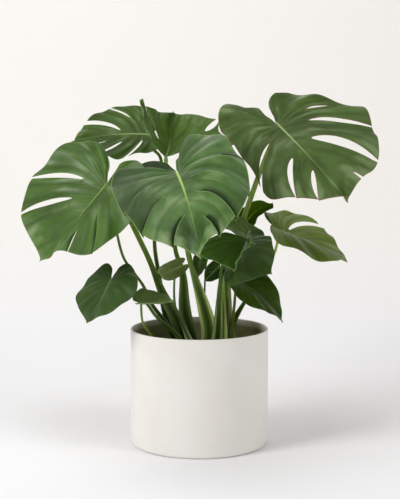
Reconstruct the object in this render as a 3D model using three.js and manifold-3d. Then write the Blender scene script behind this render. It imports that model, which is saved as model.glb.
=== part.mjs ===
// A potted monstera plant: cut and heart-shaped leaves on long leaf stalks that rise from the
// soil of a plain white cylinder pot. Millimetres, +Z up. The origin is the centre of the pot's
// base, and the plant's front looks along -Y.

import * as THREE from 'three';
import { mergeVertices } from 'three/addons/utils/BufferGeometryUtils.js';
import Module from 'manifold-3d';

// ---------------------------------------------------------------- driving dimensions
const POT_RADIUS = 130;
const POT_HEIGHT = 219;
const POT_WALL = 3.4;
const POT_FLOOR = 6;
const POT_FOOT_RADIUS = 7;
const POT_SEGMENTS = 56;

const SOIL_EDGE = 160;
const SOIL_CROWN = 165;
const SOIL_SEGMENTS = 36;

const GAP = 0.3;
const BLADE_THICKNESS = 1;
const FIRST_PLACE = 0.08;
const TIP_PLACE = 0.955;
const STALK_SIDES = 7;
const STALK_STEP = 45;
const STALK_DEPTH = 38;

// Colours as seen in daylight, with roughness.
const FINISH = {
  pot: ['#e6e1da', 0.6],
  soil: ['#3d2f24', 0.95],
  lightBlade: ['#567a43', 0.35],
  midBlade: ['#456b34', 0.35],
  darkBlade: ['#23421f', 0.35],
  oliveBlade: ['#64753f', 0.45],
  lightStalk: ['#7a9a4e', 0.5],
  darkStalk: ['#46602c', 0.5],
};

// ---------------------------------------------------------------- the leaves
// at: where the blade joins its stalk. turn: heading, pitch and roll of the midrib, in degrees.
// size: length from that joint to the tip, and greatest width. back: how far the two back lobes
// reach behind the joint, as a share of the length. arch: how far the midrib bends down along
// its length, in degrees.
// Each half has fold (its lift from the midrib), curl (how far it bends on towards its margin),
// shape (inner, back, outer, widest, shoulder and near-tip width against the common outline)
// and cuts between lobes: [place along the margin, where it starts and where it ends between
// midrib 0 and margin 1, widest gap in mm, share of that gap left at the margin]. A cut that
// ends before the margin is a closed hole.
// stalk: radius at the soil and at the blade, root in the soil, and points on the way up.
const PLAIN = [1, 1, 1, 1, 1, 1];

const LEAVES = [
  {
    name: 'left', finish: 'lightBlade', stalkFinish: 'lightStalk',
    at: [-173, 30, 491], turn: [209, -48, 7], size: [200, 303], back: 0.26, arch: -5,
    left: {
      fold: 32, curl: -80, shape: [1, 1, 1, 0.95, 1, 1.35],
      cuts: [[0.53, 0.5, 0.8, 7, 0], [0.695, 0.5, 1, 5, 0.5], [0.8, 0.65, 1, 9, 0.5]],
    },
    right: {
      fold: 32, curl: -5, shape: [0.9, 1.1, 1.05, 0.95, 0.95, 1.05],
      cuts: [[0.56, 0.3, 1, 15, 0.15], [0.745, 0.3, 1, 15, 0.15]],
    },
    stalk: {
      radius: [7.4, 4.4], root: [-20, 4],
      path: [[-36, 6, 220], [-68, 10, 280], [-96, 18, 348], [-122, 27, 401]],
    },
  },
  {
    name: 'front', finish: 'lightBlade', stalkFinish: 'lightStalk',
    at: [-40, -108, 517], turn: [-78, -19, 0], size: [249, 249], back: 0.38, arch: 27,
    left: {
      fold: 52, curl: -46, shape: [1, 1, 0.95, 0.9, 1, 1.2],
      cuts: [[0.575, 0.65, 1, 5, 0.3], [0.72, 0.15, 1, 7, 0.7], [0.83, 0.2, 1, 6, 0.4],
        [0.905, 0.45, 1, 6, 0.8]],
    },
    right: {
      fold: -9, curl: -14, shape: [1, 1.05, 1.1, 0.95, 0.9, 1],
      cuts: [[0.62, 0.45, 1, 8, 0.5], [0.77, 0.3, 1, 9, 0.8], [0.9, 0.2, 1, 17, 0.6]],
    },
    stalk: {
      radius: [8, 4.2], root: [16, -14],
      path: [[18, -14, 220], [9, -22, 261], [-18, -52, 356], [-29, -74, 417]],
    },
  },
  {
    name: 'right', finish: 'midBlade', stalkFinish: 'lightStalk',
    at: [144, 10, 603], turn: [-60, -28, -14], size: [255, 285], back: 0.35, arch: 8,
    left: {
      fold: 15, curl: -15, shape: [1.1, 0.9, 0.85, 1.1, 1.05, 1.15],
      cuts: [[0.42, 0.45, 0.8, 13, 0], [0.59, 0.3, 1, 17, 0.1], [0.77, 0.2, 1, 36, 0.12],
        [0.89, 0.8, 1, 6, 1]],
    },
    right: {
      fold: 13, curl: -42, shape: [1.05, 1.05, 0.85, 0.75, 0.85, 1.3],
      cuts: [[0.69, 0.3, 1, 22, 0.5], [0.83, 0.3, 1, 15, 0.1], [0.905, 0.3, 1, 15, 0.1]],
    },
    stalk: {
      radius: [9, 4.4], root: [40, 10],
      path: [[47, 22, 240], [49, 36, 301], [90, 47, 437], [117, 38, 516], [136, 20, 564]],
    },
  },
  {
    name: 'back_left', finish: 'midBlade', stalkFinish: 'darkStalk',
    at: [-103, 150, 581], turn: [191, 4, 38], size: [153, 153], back: 0.15, arch: 25,
    left: {
      fold: 12, curl: -14, shape: [1, 1, 0.95, 0.9, 1.1, 1],
      cuts: [[0.49, 0.3, 1, 12, 0.9], [0.72, 0.4, 1, 10, 0.9], [0.83, 0.4, 0.8, 5, 0]],
    },
    right: {
      fold: 13, curl: -9, shape: [1, 1, 0.9, 1.03, 1.03, 1.05],
      cuts: [[0.575, 0.5, 1, 7, 0.5], [0.8, 0.15, 1, 14, 0.8]],
    },
    stalk: {
      radius: [5, 3], root: [-34, 36],
      path: [[-65, 46, 234], [-77, 58, 305], [-87, 72, 376], [-79, 108, 476], [-77, 130, 536]],
    },
  },
  {
    name: 'back', finish: 'midBlade', stalkFinish: 'darkStalk',
    at: [-65, 70, 538], turn: [84, 10, 0], size: [150, 249], back: 0.12, arch: -57,
    left: {
      fold: 52, curl: 29, shape: [0.93, 0.8, 0.72, 0.85, 0.99, 1.09],
      cuts: [[0.68, 0.27, 1, 27, 1.25]],
    },
    right: {
      fold: 27, curl: -29, shape: [1.01, 1.06, 1.15, 1.18, 0.9, 1.24],
      cuts: [[0.717, 0.7, 1, 23, 0.45]],
    },
    stalk: {
      radius: [6.2, 3.6], root: [-12, 32],
      path: [[-28, 34, 251], [-32, 44, 316], [-46, 54, 361], [-50, 62, 427]],
    },
  },
  {
    name: 'low_left', finish: 'darkBlade', stalkFinish: 'darkStalk',
    at: [-163, -40, 317], turn: [233, -52, -9], size: [100, 125], back: 0.32, arch: -9,
    left: { fold: 6, curl: -34, shape: [1, 1.05, 1, 1.1, 1, 1], cuts: [] },
    right: { fold: 6, curl: -2, shape: [1, 1, 0.95, 1, 1.1, 0.9], cuts: [] },
    stalk: {
      radius: [5, 2.4], root: [-24, -14],
      path: [[-37, -14, 201], [-80, -16, 242], [-102, -18, 271], [-133, -20, 292]],
    },
  },
  {
    name: 'low_front', finish: 'oliveBlade', stalkFinish: 'lightStalk',
    at: [-110, -52, 273], turn: [11, -1, 5], size: [68, 83], back: 0.16, arch: -5,
    left: { fold: 28, curl: 10, shape: [1, 1, 1, 1.1, 1, 0.95], cuts: [] },
    right: { fold: 4, curl: -3, shape: PLAIN, cuts: [] },
    stalk: { radius: [3.6, 2], root: [-66, -30], path: [[-90, -46, 212], [-104, -56, 238]] },
  },
  {
    name: 'olive', finish: 'oliveBlade', stalkFinish: 'darkStalk',
    at: [-37, -30, 339], turn: [234, -15, 42], size: [98, 34], back: 0.24, arch: -40,
    left: { fold: -14, curl: -36, shape: PLAIN, cuts: [] },
    right: { fold: 26, curl: -14, shape: PLAIN, cuts: [] },
    stalk: { radius: [4, 1.8], root: [-4, -28], path: [[-25, -18, 213], [-45, -20, 262]] },
  },
  {
    name: 'heart', finish: 'darkBlade', stalkFinish: 'darkStalk',
    at: [85, -108, 398], turn: [-125, -59, -25], size: [68, 158], back: 0.08, arch: -11,
    left: { fold: 35, curl: -25, shape: [0.9, 0.7, 0.6, 0.7, 1, 1.1], cuts: [] },
    right: { fold: 43, curl: -20, shape: [1.02, 0.93, 0.83, 0.89, 1.15, 1.56], cuts: [] },
    stalk: {
      radius: [5.4, 2.6], root: [30, -34],
      path: [[35, -52, 230], [37, -76, 300], [42, -96, 350], [60, -106, 380]],
    },
  },
  {
    name: 'dark', finish: 'darkBlade', stalkFinish: 'lightStalk',
    at: [78, -45, 378], turn: [-79, -11, -56], size: [107, 114], back: 0.17, arch: 49,
    left: { fold: -11, curl: -49, shape: [1, 1, 1, 0.97, 0.87, 0.92], cuts: [] },
    right: { fold: 8, curl: -10, shape: [1, 1, 1, 1.1, 1.23, 0.96], cuts: [] },
    stalk: {
      radius: [5.5, 2.6], root: [44, -10],
      path: [[45, -8, 250], [47, -10, 310], [58, -18, 348]],
    },
  },
  {
    name: 'low_right', finish: 'darkBlade', stalkFinish: 'lightStalk',
    at: [73, -5, 306], turn: [2, -24, -18], size: [120, 101], back: 0.18, arch: 39,
    left: { fold: 19, curl: 14, shape: [1, 1, 1, 1, 1.07, 1], cuts: [] },
    right: { fold: 15, curl: -40, shape: [1, 1, 0.95, 1.14, 1.04, 0.88], cuts: [] },
    stalk: { radius: [5, 2.4], root: [62, 2], path: [[62, 4, 215], [66, 0, 262]] },
  },
  {
    name: 'round', finish: 'darkBlade', stalkFinish: 'darkStalk',
    at: [92, 72, 415], turn: [38, 45, -1], size: [76, 83], back: 0.21, arch: 41,
    left: { fold: 19, curl: -12, shape: [1, 0.98, 0.96, 0.92, 0.81, 1.27], cuts: [] },
    right: { fold: 15, curl: -10, shape: [1, 1.04, 1.1, 0.75, 1.14, 0.91], cuts: [] },
    stalk: { radius: [3.6, 2.2], root: [32, 38], path: [[40, 40, 227], [63, 45, 304]] },
  },
  {
    name: 'far_right', finish: 'oliveBlade', stalkFinish: 'darkStalk',
    at: [152, 46, 395], turn: [1, -19, 22], size: [144, 266], back: 0.18, arch: 10,
    left: {
      fold: 51, curl: -18, shape: [0.85, 1.3, 0.7, 0.88, 0.97, 0.79],
      cuts: [[0.624, 0.17, 1, 16, 1.12]],
    },
    right: { fold: -2, curl: -55, shape: [1, 0.95, 1.1, 0.91, 1.06, 1.33], cuts: [] },
    stalk: {
      radius: [4.5, 2.4], root: [54, 24],
      path: [[58, 32, 200], [67, 42, 226], [87, 58, 258], [114, 66, 302], [142, 46, 350]],
    },
  },
  {
    name: 'upper', finish: 'darkBlade', stalkFinish: 'darkStalk',
    at: [104, 9, 388], turn: [181, 29, 21], size: [82, 75], back: 0.2, arch: 15,
    left: { fold: 11, curl: 1, shape: PLAIN, cuts: [] },
    right: { fold: 11, curl: 8, shape: [1, 1, 1, 0.87, 1.13, 1], cuts: [] },
    stalk: {
      radius: [4.6, 2.2], root: [27, 18],
      path: [[38, 12, 240], [46, 12, 300], [64, 14, 350]],
    },
  },
  {
    name: 'hidden_left', finish: 'midBlade', stalkFinish: 'darkStalk',
    at: [-164, 100, 421], turn: [170, 10, 20], size: [92, 82], back: 0.2, arch: 20,
    left: { fold: 15, curl: -10, shape: PLAIN, cuts: [] },
    right: { fold: 15, curl: -10, shape: PLAIN, cuts: [] },
    stalk: {
      radius: [4.6, 2.4], root: [-38, 18],
      path: [[-58, 26, 213], [-94, 40, 262], [-108, 48, 292], [-146, 66, 343], [-161, 84, 391]],
    },
  },
  {
    name: 'small_middle', finish: 'darkBlade', stalkFinish: 'darkStalk',
    at: [38, -66, 344], turn: [192, -38, -75], size: [42, 36], back: 0.12, arch: 20,
    left: { fold: 12, curl: -15, shape: PLAIN, cuts: [] },
    right: { fold: 12, curl: -15, shape: PLAIN, cuts: [] },
    stalk: {
      radius: [2.6, 1.6], root: [22, -24],
      path: [[27, -34, 205], [31, -46, 260], [36, -60, 308]],
    },
  },
  {
    name: 'small_back', finish: 'darkBlade', stalkFinish: 'darkStalk',
    at: [6, 4, 357], turn: [215, -68, 10], size: [46, 38], back: 0.1, arch: 15,
    left: { fold: 15, curl: -20, shape: PLAIN, cuts: [] },
    right: { fold: 15, curl: -20, shape: PLAIN, cuts: [] },
    stalk: { radius: [2.8, 1.6], root: [6, 12], path: [[7, 10, 197], [9, 12, 260], [11, 10, 318]] },
  },
];

// ---------------------------------------------------------------- the blade, laid flat
// Half of the common outline: [share of the half width, share of the length], from the joint
// round the back lobe to the tip.
function marginCurve(leaf, half) {
  const [inner, back, outer, widest, shoulder, tip] = half.shape;
  const [length, width] = leaf.size;
  const outline = [
    [0.016, -0.075 * leaf.back * inner],
    [0.13, -0.62 * leaf.back * inner],
    [0.4, -leaf.back * back],
    [0.8 * outer, -0.55 * leaf.back * back],
    [widest, 0.17],
    [0.93 * shoulder, 0.46],
    [0.62 * tip, 0.74],
    [0.2 * Math.sqrt(tip), 0.93],
    [0.035, 0.968],
    [0, 1],
  ];
  const points = outline.map(([u, v]) => new THREE.Vector3((u * width) / 2, v * length, 0));
  return new THREE.CatmullRomCurve3(points, false, 'centripetal');
}

// Where on the midrib the side vein to a place on the margin starts, as a share of the length.
function veinStart(place) {
  const BACK_LOBE = 0.25;
  if (place < BACK_LOBE) return (0.04 * place) / BACK_LOBE;
  return 0.04 + 0.86 * ((place - BACK_LOBE) / (1 - BACK_LOBE)) ** 4;
}

// A point of one half, on the vein to a place on the margin. Outside the back lobe and the tip
// the vein bows: it leaves the midrib steeply and turns towards the tip.
function flatPoint(leaf, margin, place, reach) {
  const end = margin.getPointAt(place);
  const start = new THREE.Vector3(0, veinStart(place) * leaf.size[0], 0);
  const chord = end.clone().sub(start);
  const pastBackLobe = THREE.MathUtils.clamp((place - 0.12) / 0.25, 0, 1);
  const bow = 0.2 * pastBackLobe * Math.min(1, (1 - place) / 0.15);
  const middle = start.clone().add(end).multiplyScalar(0.5);
  middle.add(new THREE.Vector3(chord.y, -chord.x, 0).multiplyScalar(bow));
  return new THREE.QuadraticBezierCurve3(start, middle, end).getPoint(reach);
}

// The gap of a cut at a reach between midrib and margin.
function cutGap([, from, to, gap, mouth], reach) {
  if (reach <= from || (to < 1 && reach >= to)) return 0;
  const along = (reach - from) / (to - from);
  if (to < 1) return gap * Math.sin(Math.PI * along);
  return gap * Math.sqrt(along * (2 - along)) * (1 - (1 - mouth) * along ** 2);
}

// ---------------------------------------------------------------- the blade, in space
function midribFrame(leaf) {
  const [heading, pitch, roll] = leaf.turn.map(THREE.MathUtils.degToRad);
  const along = new THREE.Vector3(
    Math.cos(pitch) * Math.cos(heading), Math.cos(pitch) * Math.sin(heading), Math.sin(pitch));
  const across = along.clone().cross(new THREE.Vector3(0, 0, 1)).normalize();
  across.applyAxisAngle(along, -roll);
  return { along, across, up: across.clone().cross(along) };
}

// How far an arc of this turn carries a point: forwards and upwards.
function arcOffset(length, startAngle, turnPerMm) {
  const turn = Math.abs(turnPerMm) < 1e-7 ? 1e-7 : turnPerMm;
  const endAngle = startAngle + turn * length;
  return [
    (Math.sin(endAngle) - Math.sin(startAngle)) / turn,
    (Math.cos(startAngle) - Math.cos(endAngle)) / turn,
  ];
}

// The midrib bends down as an arc, and each half lifts from it and bends on as another.
function bend(leaf, side, half, point) {
  const [length, width] = leaf.size;
  const { along, across, up } = midribFrame(leaf);
  const behind = point.y < 0 ? 0.6 : 1;
  const archPerMm = (-THREE.MathUtils.degToRad(leaf.arch) * behind) / length;
  const [forward, rise] = arcOffset(point.y, 0, archPerMm);
  const curlPerMm = THREE.MathUtils.degToRad(half.curl) / (width / 2);
  const [out, lift] = arcOffset(point.x, THREE.MathUtils.degToRad(half.fold), curlPerMm);
  const tilt = archPerMm * point.y;
  const normal = along.clone().multiplyScalar(-Math.sin(tilt)).addScaledVector(up, Math.cos(tilt));
  return new THREE.Vector3(...leaf.at)
    .addScaledVector(along, forward)
    .addScaledVector(up, rise)
    .addScaledVector(across, side * out)
    .addScaledVector(normal, lift);
}

// ---------------------------------------------------------------- the blade's mesh
// Merges extra values into evenly spread ones: a spread value that lies close to an extra one
// gives way to it.
function mergeValues(spread, extra, closest) {
  const kept = spread.filter((value, i) => i === 0 || i === spread.length - 1
    || extra.every((other) => Math.abs(other - value) > closest));
  const all = [...kept, ...extra].sort((a, b) => a - b);
  return all.filter((value, i) => i === 0 || value - all[i - 1] > 1e-6);
}

function bladePlaces(leaf) {
  const cuts = [...leaf.left.cuts, ...leaf.right.cuts].map(([place]) => place);
  const count = cuts.length > 0 ? 11 : 8;
  const spread = Array.from({ length: count }, (_, i) =>
    THREE.MathUtils.lerp(FIRST_PLACE, 1, i / count));
  return mergeValues([...spread, TIP_PLACE, 1], cuts, 0.035);
}

function bladeReaches(leaf) {
  const cuts = [...leaf.left.cuts, ...leaf.right.cuts];
  const marks = cuts.flatMap(([, from, to]) => (to < 1 ? [from, (from + to) / 2, to] : [from]));
  const spread = cuts.length > 0 ? [0, 0.18, 0.38, 0.58, 0.8, 1] : [0, 0.3, 0.6, 0.85, 1];
  return mergeValues(spread, marks, 0.09);
}

// Moves a point of a lobe away from the cuts at its two ends.
function lobePoint(leaf, margin, lobe, place, reach) {
  const point = flatPoint(leaf, margin, place, reach);
  const step = 0.004;
  const ahead = flatPoint(leaf, margin, Math.min(1, place + step), reach);
  const behind = flatPoint(leaf, margin, Math.max(0, place - step), reach);
  const direction = ahead.sub(behind).normalize();
  const share = (place - lobe.start) / (lobe.end - lobe.start);
  const shove = ((1 - share) * lobe.gapBefore(reach) - share * lobe.gapAfter(reach)) / 2;
  return point.addScaledVector(direction, shove);
}

function halfLobes(half) {
  const none = () => 0;
  const cuts = half.cuts.map((cut) => ({ place: cut[0], gap: (reach) => cutGap(cut, reach) }));
  const ends = [{ place: FIRST_PLACE, gap: none }, ...cuts, { place: 1, gap: none }];
  return ends.slice(1).map((end, i) => ({
    start: ends[i].place, end: end.place, gapBefore: ends[i].gap, gapAfter: end.gap,
  }));
}

// The blade as one sheet without thickness: its triangles, and the keel's depth at each point.
function bladeSheet(leaf) {
  const places = bladePlaces(leaf);
  const reaches = bladeReaches(leaf);
  const corners = [];
  const keels = [];
  for (const side of [-1, 1]) {
    const half = side < 0 ? leaf.left : leaf.right;
    const margin = marginCurve(leaf, half);
    for (const lobe of halfLobes(half)) {
      const columns = places.filter((place) => place >= lobe.start && place <= lobe.end);
      const grid = columns.map((place) => reaches.map((reach) => {
        const flat = lobePoint(leaf, margin, lobe, place, reach);
        const keel = Math.abs(flat.x) < 0.01 ? keelDepth(leaf, flat.y) : 0;
        return { point: bend(leaf, side, half, flat), keel };
      }));
      for (let i = 0; i < columns.length - 1; i += 1) {
        for (let j = 0; j < reaches.length - 1; j += 1) {
          const quad = [grid[i][j], grid[i + 1][j], grid[i + 1][j + 1], grid[i][j + 1]];
          const order = side < 0 ? [0, 1, 2, 0, 2, 3] : [0, 2, 1, 0, 3, 2];
          for (const k of order) {
            corners.push(...quad[k].point);
            keels.push(quad[k].keel);
          }
        }
      }
    }
  }
  const sheet = new THREE.BufferGeometry();
  sheet.setAttribute('position', new THREE.Float32BufferAttribute(corners, 3));
  sheet.setAttribute('keel', new THREE.Float32BufferAttribute(keels, 1));
  return mergeVertices(sheet, 1e-3);
}

// The midrib stands out below the blade, most at the joint.
function keelDepth(leaf, v) {
  return 0.014 * leaf.size[0] * Math.max(0, 1 - v / leaf.size[0]);
}

// Gives a sheet its thickness: both faces share one pattern of triangles, with a wall round
// every edge that only one triangle has.
function thicken(sheet, thickness, keelExtra) {
  const flat = sheet.clone();
  flat.computeVertexNormals();
  const { position, normal, keel } = flat.attributes;
  const count = position.count;
  const index = Array.from(flat.index.array);
  const corners = [];
  for (const face of [1, -1]) {
    for (let i = 0; i < count; i += 1) {
      const depth = face > 0 ? thickness / 2 : thickness / 2 + keel.getX(i) + keelExtra;
      const point = new THREE.Vector3().fromBufferAttribute(position, i);
      const outward = new THREE.Vector3().fromBufferAttribute(normal, i);
      corners.push(...point.addScaledVector(outward, face * depth));
    }
  }
  const edges = new Map();
  for (let i = 0; i < index.length; i += 3) {
    for (const [a, b] of [[0, 1], [1, 2], [2, 0]]) edges.set(`${index[i + a]} ${index[i + b]}`, true);
  }
  const triangles = [...index];
  for (let i = 0; i < index.length; i += 3) {
    triangles.push(index[i] + count, index[i + 2] + count, index[i + 1] + count);
  }
  for (const edge of edges.keys()) {
    const [a, b] = edge.split(' ').map(Number);
    if (edges.has(`${b} ${a}`)) continue;
    triangles.push(b, a, a + count, b, a + count, b + count);
  }
  const solid = new THREE.BufferGeometry();
  solid.setAttribute('position', new THREE.Float32BufferAttribute(corners, 3));
  solid.setIndex(triangles);
  return solid;
}

// ---------------------------------------------------------------- the stalks
// A stalk leaves the soil upright and ends square to the underside of its blade.
function stalkCurve(leaf) {
  const { up, along } = midribFrame(leaf);
  const [x, y] = leaf.stalk.root;
  const seat = BLADE_THICKNESS / 2 + keelDepth(leaf, 0) + GAP;
  const end = new THREE.Vector3(...leaf.at).addScaledVector(along, 3).addScaledVector(up, -seat);
  const bendStart = end.clone().addScaledVector(up, -6 * leaf.stalk.radius[1]);
  const points = [
    new THREE.Vector3(x, y, SOIL_CROWN - STALK_DEPTH),
    new THREE.Vector3(x, y, SOIL_CROWN - 6),
    ...leaf.stalk.path.map((point) => new THREE.Vector3(...point)),
    bendStart,
    end,
  ];
  return new THREE.CatmullRomCurve3(points, false, 'centripetal');
}

function stalkGeometry(leaf, clearance) {
  const curve = stalkCurve(leaf);
  const steps = Math.max(6, Math.round(curve.getLength() / STALK_STEP) + 4);
  const frames = curve.computeFrenetFrames(steps, false);
  const [atSoil, atBlade] = leaf.stalk.radius;
  const corners = [];
  for (let i = 0; i <= steps; i += 1) {
    const centre = curve.getPointAt(i / steps);
    if (i === 0) centre.z -= clearance;
    const slim = THREE.MathUtils.lerp(atSoil, atBlade, Math.sqrt(i / steps));
    const radius = slim + clearance / Math.cos(Math.PI / STALK_SIDES);
    for (let k = 0; k < STALK_SIDES; k += 1) {
      const angle = (2 * Math.PI * k) / STALK_SIDES;
      const point = centre.clone()
        .addScaledVector(frames.normals[i], radius * Math.cos(angle))
        .addScaledVector(frames.binormals[i], radius * Math.sin(angle));
      corners.push(...point);
    }
  }
  return tubeSolid(corners, steps, STALK_SIDES);
}

// Joins rings of points into a closed tube with flat ends.
function tubeSolid(corners, steps, sides) {
  const triangles = [];
  for (let i = 0; i < steps; i += 1) {
    for (let k = 0; k < sides; k += 1) {
      const a = i * sides + k;
      const b = i * sides + ((k + 1) % sides);
      triangles.push(a, b, b + sides, a, b + sides, a + sides);
    }
  }
  const last = steps * sides;
  for (let k = 1; k < sides - 1; k += 1) {
    triangles.push(0, k + 1, k, last, last + k, last + k + 1);
  }
  const tube = new THREE.BufferGeometry();
  tube.setAttribute('position', new THREE.Float32BufferAttribute(corners, 3));
  tube.setIndex(triangles);
  return tube;
}

// ---------------------------------------------------------------- the pot and the soil
// Points of a quarter round from one angle to another, in degrees.
function quarterRound(x, z, radius, from, to, steps) {
  return Array.from({ length: steps + 1 }, (_, i) => {
    const angle = THREE.MathUtils.degToRad(from + ((to - from) * i) / steps);
    return new THREE.Vector2(x + radius * Math.cos(angle), z + radius * Math.sin(angle));
  });
}

// Turns a profile of the upright plane about the Z axis.
function turned(profile, segments) {
  const lathe = new THREE.LatheGeometry(profile, segments);
  lathe.rotateX(Math.PI / 2);
  return lathe;
}

function potGeometry() {
  const inside = POT_RADIUS - POT_WALL;
  const lip = POT_WALL / 2;
  return turned([
    new THREE.Vector2(0, 0),
    ...quarterRound(POT_RADIUS - POT_FOOT_RADIUS, POT_FOOT_RADIUS, POT_FOOT_RADIUS, -90, 0, 3),
    ...quarterRound(POT_RADIUS - lip, POT_HEIGHT - lip, lip, 0, 180, 4),
    new THREE.Vector2(inside, POT_FLOOR + POT_FOOT_RADIUS),
    new THREE.Vector2(inside - POT_FOOT_RADIUS, POT_FLOOR),
    new THREE.Vector2(0, POT_FLOOR),
  ], POT_SEGMENTS);
}

function soilGeometry() {
  const radius = POT_RADIUS - POT_WALL - GAP * 2;
  const floor = POT_FLOOR + GAP;
  return turned([
    new THREE.Vector2(0, floor),
    new THREE.Vector2(radius - POT_FOOT_RADIUS, floor),
    new THREE.Vector2(radius, floor + POT_FOOT_RADIUS),
    new THREE.Vector2(radius, SOIL_EDGE),
    new THREE.Vector2(radius * 0.6, SOIL_CROWN),
    new THREE.Vector2(0, SOIL_CROWN),
  ], SOIL_SEGMENTS);
}

// ---------------------------------------------------------------- cutting solids
const wasm = await Module();
wasm.setup();

function toSolid(geometry) {
  const bare = geometry.clone();
  for (const name of Object.keys(bare.attributes)) {
    if (name !== 'position') bare.deleteAttribute(name);
  }
  const merged = mergeVertices(bare, 1e-4);
  return new wasm.Manifold(new wasm.Mesh({
    numProp: 3,
    vertProperties: new Float32Array(merged.attributes.position.array),
    triVerts: new Uint32Array(merged.index.array),
  }));
}

function toGeometry(solid) {
  const mesh = solid.getMesh();
  const geometry = new THREE.BufferGeometry();
  geometry.setAttribute('position', new THREE.Float32BufferAttribute(mesh.vertProperties, 3));
  geometry.setIndex(Array.from(mesh.triVerts));
  return geometry;
}

// Every stalk stands in a plain hole in the soil.
function soilWithHoles() {
  let soil = toSolid(soilGeometry());
  for (const leaf of LEAVES) soil = soil.subtract(toSolid(stalkGeometry(leaf, GAP)));
  return toGeometry(soil);
}

// A stalk keeps clear of the underside of its own blade.
function seatedStalk(leaf, sheet) {
  const stalk = toSolid(stalkGeometry(leaf, 0));
  const blade = toSolid(thicken(sheet, BLADE_THICKNESS + 2 * GAP, 0));
  return toGeometry(stalk.subtract(blade));
}

// ---------------------------------------------------------------- the object
const plant = new THREE.Group();

function addPart(name, geometry, finish) {
  const [color, roughness] = FINISH[finish];
  const material = new THREE.MeshStandardMaterial({ color, roughness, metalness: 0 });
  const mesh = new THREE.Mesh(geometry, material);
  mesh.name = name;
  plant.add(mesh);
}

addPart('pot', potGeometry(), 'pot');
addPart('soil', soilWithHoles(), 'soil');
for (const leaf of LEAVES) {
  const sheet = bladeSheet(leaf);
  addPart(`blade_${leaf.name}`, thicken(sheet, BLADE_THICKNESS, 0), leaf.finish);
  addPart(`stalk_${leaf.name}`, seatedStalk(leaf, sheet), leaf.stalkFinish);
}

export default plant;
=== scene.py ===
# A potted monstera plant: cut and heart-shaped blades, leaf stalks, filling and a plain white pot.
# The tables are in millimetres, the finished meshes in metres.
import math
import bpy
import numpy as np
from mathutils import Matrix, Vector


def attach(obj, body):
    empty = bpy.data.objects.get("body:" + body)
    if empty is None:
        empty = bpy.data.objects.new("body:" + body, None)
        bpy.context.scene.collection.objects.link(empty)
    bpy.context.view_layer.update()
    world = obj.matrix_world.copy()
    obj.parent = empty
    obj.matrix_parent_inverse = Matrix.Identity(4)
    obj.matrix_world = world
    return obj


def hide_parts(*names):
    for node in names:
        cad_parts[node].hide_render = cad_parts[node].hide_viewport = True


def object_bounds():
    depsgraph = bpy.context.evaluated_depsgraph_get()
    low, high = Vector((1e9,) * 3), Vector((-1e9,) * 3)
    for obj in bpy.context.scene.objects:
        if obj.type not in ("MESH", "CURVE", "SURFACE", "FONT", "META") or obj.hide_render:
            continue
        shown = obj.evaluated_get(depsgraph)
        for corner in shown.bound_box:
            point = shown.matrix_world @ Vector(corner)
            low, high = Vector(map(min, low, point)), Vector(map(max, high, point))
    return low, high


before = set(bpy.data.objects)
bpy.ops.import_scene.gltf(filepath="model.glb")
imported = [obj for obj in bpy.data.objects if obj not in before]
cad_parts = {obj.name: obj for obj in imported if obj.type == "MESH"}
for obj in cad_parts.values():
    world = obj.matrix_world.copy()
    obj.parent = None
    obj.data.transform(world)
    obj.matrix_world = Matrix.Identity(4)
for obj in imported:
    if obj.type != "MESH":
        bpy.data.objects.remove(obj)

CAD_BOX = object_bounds()
MM = 0.001

# ---- sizes shared with the solids
POT_RADIUS = 130
POT_HEIGHT = 219
POT_WALL = 3.4
POT_FLOOR = 6
POT_FOOT_RADIUS = 7
SOIL_EDGE = 160
SOIL_CROWN = 165
GAP = 0.3
BLADE_THICKNESS = 1
KEEL_SHARE = 0.014
FIRST_PLACE = 0.08
TIP_PLACE = 0.955
STALK_DEPTH = 38

# ---- the leaves
# The same values as the solids have: joint, heading, pitch and roll, length and width, reach of
# the back lobes, arch of the midrib, then each half, and the stalk's radii, root and path.
PLAIN = (1, 1, 1, 1, 1, 1)


def flap(fold, curl, shape=PLAIN, cuts=()):
    """One half of a blade: how far it is raised and curled, its outline, and its cuts. A cut is its
    place along the margin, its start and end from midrib (0) to margin (1), width, and mouth."""
    return dict(fold=fold, curl=curl, shape=shape, cuts=list(cuts))


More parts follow.
